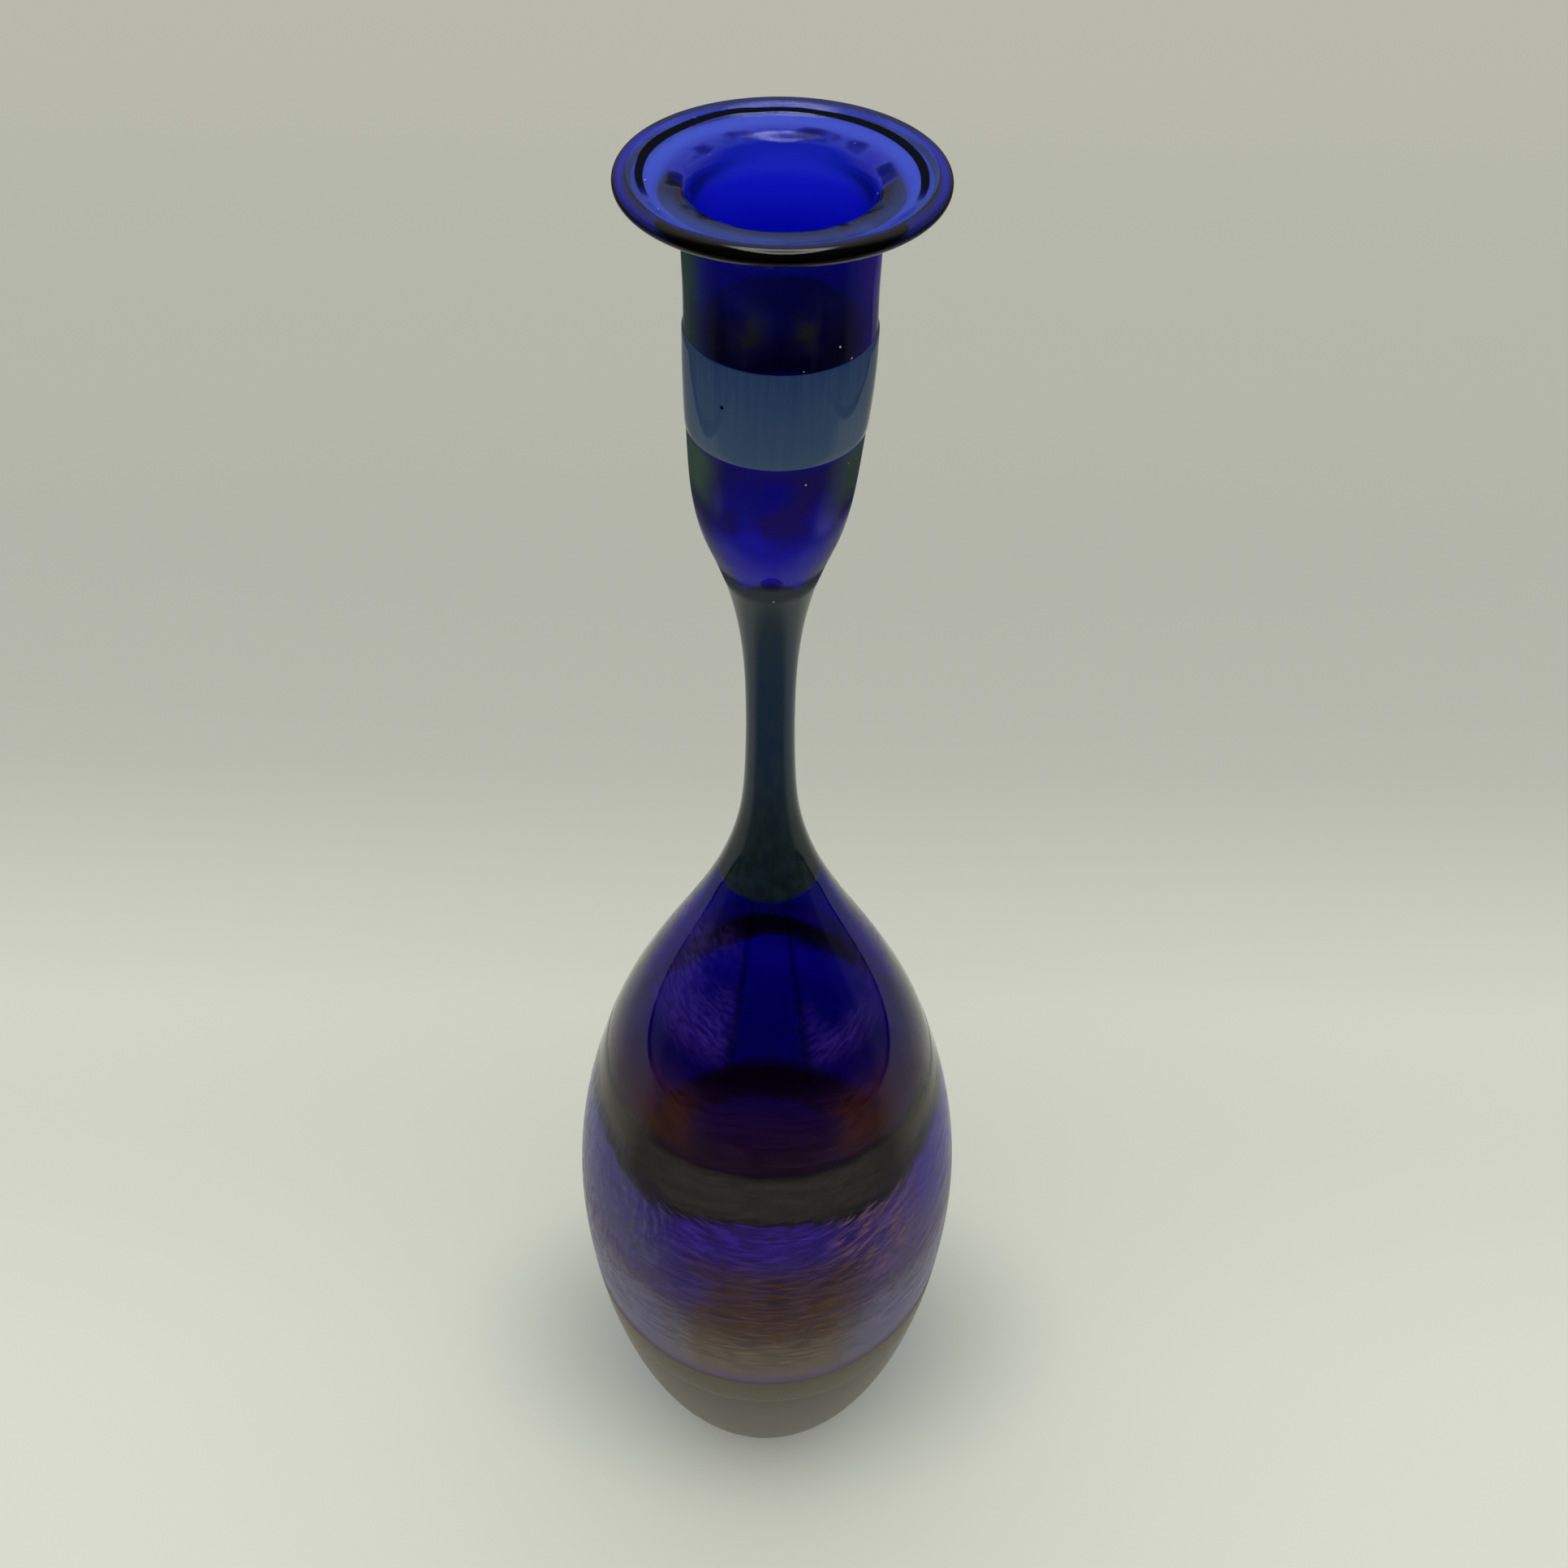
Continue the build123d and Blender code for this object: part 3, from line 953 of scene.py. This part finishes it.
def rim_bloom_and_crease_shade_look(tree, where):
    """The bloom, a ring of painted crease shade and the smudges on the rim's upper face."""
    pale_patches = patches(tree, 110.0, 9.0, 0.40, 0.62)
    marks = patches(tree, 170.0, 4.0, 0.42, 0.74)
    flecks = patches(tree, 900.0, 31.0, 0.735, 0.76)
    # Painted shade: a dark ring in the crease where the plate meets the lip, fading at the front.
    wobbling = where["Radius"] + patches(tree, 45.0, 3.0) * CREASE_SHADE_WOBBLE
    widened = where["Aside"] * CREASE_SHADE_WIDER + wobbling
    ring = widened.ease(*CREASE_SHADE_START) * wobbling.fade(*CREASE_SHADE_END) * where["Front"].fade(*CREASE_SHADE_FRONT)
    dark = ring.most(marks * where["Radius"].between(*SMUDGES) * 0.5)
    pale = (pale_patches * 0.10 + 0.09) * where["Radius"].ease(*PALE_START)
    cover = (dark * 0.92).most(pale).most(flecks * 0.7)
    colour = flecks.blend(dark.ease(0.0, 0.25).blend(RIM_PALE, RIM_SMUDGE_AND_CREASE_SHADE), FLECK_PALE)
    return film(colour, cover, 0.25)


rim_bloom_and_crease_shade = make_finish("rim_bloom_and_crease_shade", rim_bloom_and_crease_shade_look)

# %% The film on the cup
CUP_BLUE_GLOW = (0.008, 0.008, 0.24, 1.0)
CUP_VIOLET_GLOW = (0.05, 0.03, 0.42, 1.0)
CUP_GREEN = (0.040, 0.070, 0.055, 1.0)
CUP_DUSK = (0.014, 0.009, 0.060, 1.0)
CUP_OLIVE_GLINT = (0.040, 0.045, 0.003, 1.0)
SLEEVE_HAZE = (0.040, 0.050, 0.055, 1.0)
UNDER_BAND = (306, 313, 322, 325)
CUP_TAPER = (290, 297, 304, 312)
CUP_UPPER = (336, 338)
CUP_FRONT = (0.0, 0.3)
FILM_START = (294.6, 297.4)
CUP_LEFT = (-0.92, -0.66)
CUP_RIGHT = (0.62, 0.92)
CORNER_SIDE = (0.50, 0.85)
CORNER_RISE = (311, 317)
GLOW_RISE = (341, 352)
SKIRT_TOP = (297.8, 300.2)
GLINT_RISE = (338, 343, 343, 351)
GLINT_SIDE = (-0.05, 0.30, 0.30, 0.72)


def cup_bloom_glow_and_glints_look(tree, where):
    """The cup's faint bloom, with a painted blue glow, painted olive glints above the wrap and a few pale
    flecks.
    """
    height, side, aside = where["Height"], where["Side"], where["Aside"]
    drifts = patches(tree, 75.0, 17.0)
    dusk = patches(tree, 90.0, 12.0, 0.38, 0.56)
    flecks = patches(tree, 1100.0, 33.0, 0.735, 0.76)
    # Painted glints: olive patches above the wrap.
    olive_glints = patches(tree, 240.0, 1.5, 0.34, 0.62) * height.between(*GLINT_RISE) * aside.between(*GLINT_SIDE)
    under_band, taper = height.between(*UNDER_BAND), height.between(*CUP_TAPER)
    skirt = height.fade(*SKIRT_TOP)
    left, right = side.fade(*CUP_LEFT), side.ease(*CUP_RIGHT)
    corners = aside.ease(*CORNER_SIDE) * height.ease(*CORNER_RISE)

    colour = right.blend(CUP_BLUE_GLOW, CUP_VIOLET_GLOW)
    colour = left.blend(colour, CUP_GREEN)
    colour = under_band.blend(colour, corners.blend(CUP_DUSK, CUP_GREEN))
    for mask, tint in ((taper, CUP_DUSK), (skirt, SLEEVE_HAZE), (olive_glints, CUP_OLIVE_GLINT), (flecks, FLECK_PALE)):
        colour = mask.blend(colour, tint)

    # Painted light: the blue drifts, violet at the right, stand for light coming through the upper cup.
    painted_blue_glow = (drifts * 0.12 + 0.07) * height.ease(*GLOW_RISE, 0.2, 1.3)
    on_upper = left * 0.28 + right * 0.08 + painted_blue_glow + olive_glints * 0.10
    on_lower = dusk * 0.5 + corners * 0.35
    cover = on_upper * height.ease(*CUP_UPPER) + on_lower * under_band + taper * 0.17 + skirt * 0.45
    cover = cover * where["Front"].ease(*CUP_FRONT) * height.ease(*FILM_START)
    return film(colour, cover.most(flecks * 0.7), 0.25)


cup_bloom_glow_and_glints = make_finish("cup_bloom_glow_and_glints", cup_bloom_glow_and_glints_look)

# %% [markdown]
# The stripes are other glass, wound on as a hot thread and smoothed in. They are nearly opaque, so they are
# Principled with a low transmission. Three of them have tops that run a little aslant, and edges that smear
# along the turn: an alpha mask by height, broken up by the wiped streaks, lets the cobalt show through there.
# The cup's wrap keeps clean edges, and has one dark pinhole.

# %% Stripe glass
PINHOLE = (-7.6 * MM, -11.3 * MM, 332.2 * MM)
PINHOLE_EDGE = (0.28 * MM, 0.42 * MM)
PINHOLE_DARK = (0.0, 0.0, 0.002, 1.0)


def stripe_edges(tree, where, node, smear, ragged, top_fall):
    """An alpha mask that fades a stripe out at both edges, along wiped streaks, with its top aslant."""
    low, high = rise_of(node)
    direction, start, end, fall = top_fall
    top = where[direction].ease(start, end, 0.0, fall) * -1 + high
    edge = (where["Height"] - low).least(top - where["Height"])
    edge = streaks(tree, 500.0, 3.0, 0.0, 4.0, 0.3, 0.7) * (-smear * ragged) + edge
    return edge.ease((0.05 - 0.4 * ragged) * smear, 0.7 * smear)


def stripe_glass(name, node, tints, streak_tint, streak_share, clearness, roughness,
                 streak_run=(260.0, 3.5), edges=None, pinhole=None):
    """Glass laid round the vase in a thin skin, so its colour is plain and not a matter of thickness."""
    def look(tree, where):
        drawn = streaks(tree, *streak_run, -0.1, 6.0, 0.40, 0.66) * streak_share
        colour = drawn.blend(height_ramp(tree, where, tints), (*streak_tint, 1))
        if pinhole:
            off = length(tree, vector_sum(tree, "SUBTRACT", where["Place"], pinhole))
            colour = off.fade(*PINHOLE_EDGE).blend(colour, PINHOLE_DARK)
        values = {"Base Color": colour, "Roughness": roughness, "IOR": GLASS_IOR,
                  "Transmission Weight": clearness, "Normal": waves_normal(tree, 0.06 * MM)}
        if edges:
            values["Alpha"] = stripe_edges(tree, where, node, *edges)
        return values

    return make_finish(name, look)


steel_blue = stripe_glass(
    "steel_blue_wrap", "cup_band",
    ((322, (0.036, 0.066, 0.112)), (331, (0.024, 0.048, 0.105)), (339, (0.015, 0.036, 0.095))),
    (0.042, 0.072, 0.125), 0.25, 0.0, 0.03, (45.0, 22.0), pinhole=PINHOLE)
grey_green = stripe_glass(
    "grey_green_skin", "neck_sleeve",
    ((222, (0.010, 0.014, 0.018)), (240, (0.008, 0.020, 0.022)), (258, (0.006, 0.024, 0.066)),
     (280, (0.008, 0.034, 0.076)), (293, (0.018, 0.034, 0.050))),
    (0.020, 0.038, 0.05), 0.6, 0.5, 0.06, edges=(2.2, 0.1, ("Front", 0.0, -0.5, 7)))
dark_olive = stripe_glass(
    "dark_olive_stripe", "belly_band", ((158, (0.022, 0.018, 0.016)), (171, (0.018, 0.014, 0.012))),
    (0.045, 0.035, 0.020), 0.8, 0.4, 0.07, edges=(2.2, 1.0, ("Side", -0.4, 0.6, 2)))
olive_grey = stripe_glass(
    "olive_grey_stripe", "foot_band", ((76, (0.055, 0.048, 0.026)), (92, (0.045, 0.038, 0.020))),
    (0.075, 0.065, 0.035), 0.8, 0.3, 0.08, edges=(1.0, 0.4, ("Side", -0.4, 0.6, 0.5)))

# %% [markdown]
# Now the pieces are made. The frame has a node for each of the glassmaker's stages, but clear glass with
# faces between its stages would show them as lines, so one closed wall stands in for all seven. Each stripe
# stands in for its own node. The films are finish, so they stand in for nothing.

# %% The wall, its films and its stripes
glass_nodes = ("base", "bulb", "shoulder", "neck_stem", "cup", "rim_flange", "lip_bead")
glass_wall = turn_outline("glass_wall", wall_outline, cobalt)
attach(glass_wall, "root")
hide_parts(*glass_nodes)

films = {
    "wiped_bloom_film": (bloom_outline(skin_between(*BULB_BLOOM), 1), bulb_bloom),
    "cup_bloom_film": (bloom_outline(skin_between(*CUP_BLOOM), 1), cup_bloom_glow_and_glints),
    "rim_bloom_film": (bloom_outline(rim_skin(), -1), rim_bloom_and_crease_shade),
}
for name, (outline, finish) in films.items():
    thin_film = turn_outline(name, outline, finish)
    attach(thin_film, "root")

stripe_finish = {
    "foot_band": (olive_grey, "olive_grey_glass"),
    "belly_band": (dark_olive, "dark_olive_glass"),
    "neck_sleeve": (grey_green, "grey_green_glass"),
    "cup_band": (steel_blue, "steel_blue_glass"),
}
for node, (finish, slot) in stripe_finish.items():
    stripe = turn_outline(node + "_glass", stripe_outline(node), finish)
    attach(stripe, "root")
    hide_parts(node)

# %% [markdown]
# The vase stands in a photographer's light box: a pale floor that curves up into a pale back, side walls with
# thin dark seams, and an open front that is dark. The floor is one flat plane with painted light and shade:
# it is brighter in front of the vase, and its colour steps down where the real sheet begins to curve up.
# Glass is only as good as what it mirrors and what shows through it, so mirrored and transmitted rays see the
# same box, painted on the floor by place and in the world by direction.

# %% The floor
FLOOR_SIZE = 8.0
# Painted light and shade: the sheet is brighter in front of the vase and greyer where it curves up behind it.
LIT_FRONT = (0.72, 0.74, 0.64)
PALE = (0.64, 0.66, 0.565)
CREST = (0.655, 0.678, 0.585)
SHADED_BACK = (0.452, 0.462, 0.400)
BACK_FAR = (0.490, 0.495, 0.420)
SHEET_LIGHT_AND_SHADE = ((0.0, LIT_FRONT), (0.09, LIT_FRONT), (0.15, PALE), (0.19, CREST), (0.22, CREST), (0.31, SHADED_BACK),
               (0.5, SHADED_BACK), (1.0, BACK_FAR))
SHEET_RUN = (-0.1, 1.0)
SHEET_FRONT = -0.50
BOX_SEAMS = (-0.470, 0.450)
SEAM_WIDTH = 0.030
NEAR_REACH = (0.03, 0.40)
FRONT_DARK = (-0.16, -0.03)
FRONT_DARKER = (-0.45, -0.25)
BEHIND_START = (-0.02, 0.12)
BEHIND_SIDE = (0.05, 0.30)
CONTACT_SHADE = (0.50, 0.52, 0.58, 1.0)
CONTACT_REACH = (0.015, 0.100)
THROUGH_TINT = (0.86, 0.90, 1.0, 1.0)


def box_shade(tree, place):
    """How much light glass sees on each part of the floor: dark near the vase, in front and at seams."""
    across, along, _ = apart(tree, place)
    falloff = length(tree, place).ease(*NEAR_REACH, 0.68, 0.40)
    falloff = falloff * along.ease(*FRONT_DARK, 0.28, 1.0) * along.ease(*FRONT_DARKER, 0.3, 1.0)
    behind = along.ease(*BEHIND_START) * abs(across).fade(*BEHIND_SIDE)
    shade = (falloff * -1 + 1.0) * behind + falloff
    for seam in BOX_SEAMS:
        beyond = across * math.copysign(1, seam) - abs(seam)
        line = abs(beyond).ease(0.4 * SEAM_WIDTH, 0.6 * SEAM_WIDTH)
        shade = shade * beyond.ease(0.0, 0.02, 1.0, 0.3) * line
    return shade * along.ease(SHEET_FRONT - 0.01, SHEET_FRONT, 0.05, 1.0)


def mixed(tree, mask, first, second):
    """One shader turned into another by a mask."""
    return add_node(tree, "ShaderNodeMixShader", {0: mask, 1: first.outputs[0], 2: second.outputs[0]})


def shown_by_ray(tree, plain, mirrored_view, through_view):
    """One shader for plain rays, one for mirrored rays and one for rays that came through glass."""
    path = named(tree.nodes.new("ShaderNodeLightPath").outputs)
    through = path["Is Transmission Ray"]
    mirrored = path["Is Glossy Ray"].worked("SUBTRACT", through, clamp=True)
    return mixed(tree, through, mixed(tree, mirrored, plain, mirrored_view), through_view)


def floor_material():
    """A pale matt sheet with painted light and shade: lighter in front, greyer where it curves up, shadowed
    at the foot.
    """
    material, tree = new_material("pale_sheet")
    place = tree.nodes.new("ShaderNodeTexCoord").outputs["Object"]
    _, along, _ = apart(tree, place)
    paint = colour_ramp(tree, along.ease(*SHEET_RUN, steps="LINEAR"), SHEET_LIGHT_AND_SHADE, "B_SPLINE")
    shifted = vector_sum(tree, "SUBTRACT", place, (0, 0.012, 0))
    shaded = length(tree, vector_sum(tree, "MULTIPLY", shifted, (1, 1.7, 0))).fade(*CONTACT_REACH)
    colour = shaded.blend(paint, CONTACT_SHADE, "MULTIPLY")
    shade = box_shade(tree, place)
    lit = length(tree, place).ease(0.015, 0.15, 0.12, 1.0) * shade
    sheet = add_node(tree, "ShaderNodeBsdfDiffuse", {"Color": colour})
    seen = add_node(tree, "ShaderNodeEmission", {"Color": paint, "Strength": shade})
    white = add_node(tree, "ShaderNodeEmission", {"Color": THROUGH_TINT, "Strength": lit})
    shown = shown_by_ray(tree, sheet, seen, white)
    add_node(tree, "ShaderNodeOutputMaterial", {"Surface": shown.outputs[0]})
    return material


half = FLOOR_SIZE / 2
corners = [(-half, -half, 0), (half, -half, 0), (half, half, 0), (-half, half, 0)]
sheet = bpy.data.meshes.new("floor")
sheet.from_pydata(corners, [], [(0, 1, 2, 3)])
sheet.materials.append(floor_material())
floor = linked("floor", sheet)
print("floor side in m", FLOOR_SIZE)

# %% The light
LAMP_STRENGTH = 3.5
LAMP_SPREAD = (1.15, 0.6)
LAMP_HOLE = (0.08, 0.20)
LAMP_EDGE = (0.25, 0.36)
BACK_TURN = (-0.35, 0.35)
WALL_TOP = (0.1, 0.8)


def ring_lamp(across, along, upward):
    """A soft bright ring overhead, for the rim and the lip to mirror."""
    across, along = across * LAMP_SPREAD[0], along * LAMP_SPREAD[1]
    spread = (across * across + along * along).worked("SQRT")
    ring = spread.ease(*LAMP_HOLE, 0.35, 1.0) * spread.fade(*LAMP_EDGE)
    return ring * upward.worked("GREATER_THAN", 0.0)


def make_world():
    """Plain white light from all round, a grey backdrop for the camera, and the box for glass to mirror."""
    world = bpy.data.worlds.new("light_box")
    bpy.context.scene.world = world
    world.use_nodes = True
    tree = world.node_tree
    tree.nodes.clear()
    across, along, upward = apart(tree, tree.nodes.new("ShaderNodeTexCoord").outputs["Generated"])
    back = along.ease(*BACK_TURN, 0.05, 0.85)
    walls = back * upward.ease(*WALL_TOP, 0.2, 0.5)
    mirror_light = ring_lamp(across, along, upward) * LAMP_STRENGTH + walls
    camera = tree.nodes.new("ShaderNodeLightPath").outputs["Is Camera Ray"]
    white = (1, 1, 1, 1)
    lights = ((white, 1.0), ((*BACK_FAR, 1), 1.0), (white, mirror_light), (THROUGH_TINT, back))
    plain, backdrop, box, through = (
        add_node(tree, "ShaderNodeBackground", {"Color": colour, "Strength": strength})
        for colour, strength in lights)
    shown = shown_by_ray(tree, mixed(tree, camera, plain, backdrop), box, through)
    add_node(tree, "ShaderNodeOutputWorld", {"Surface": shown.outputs[0]})


make_world()
print("lamp strength", LAMP_STRENGTH)
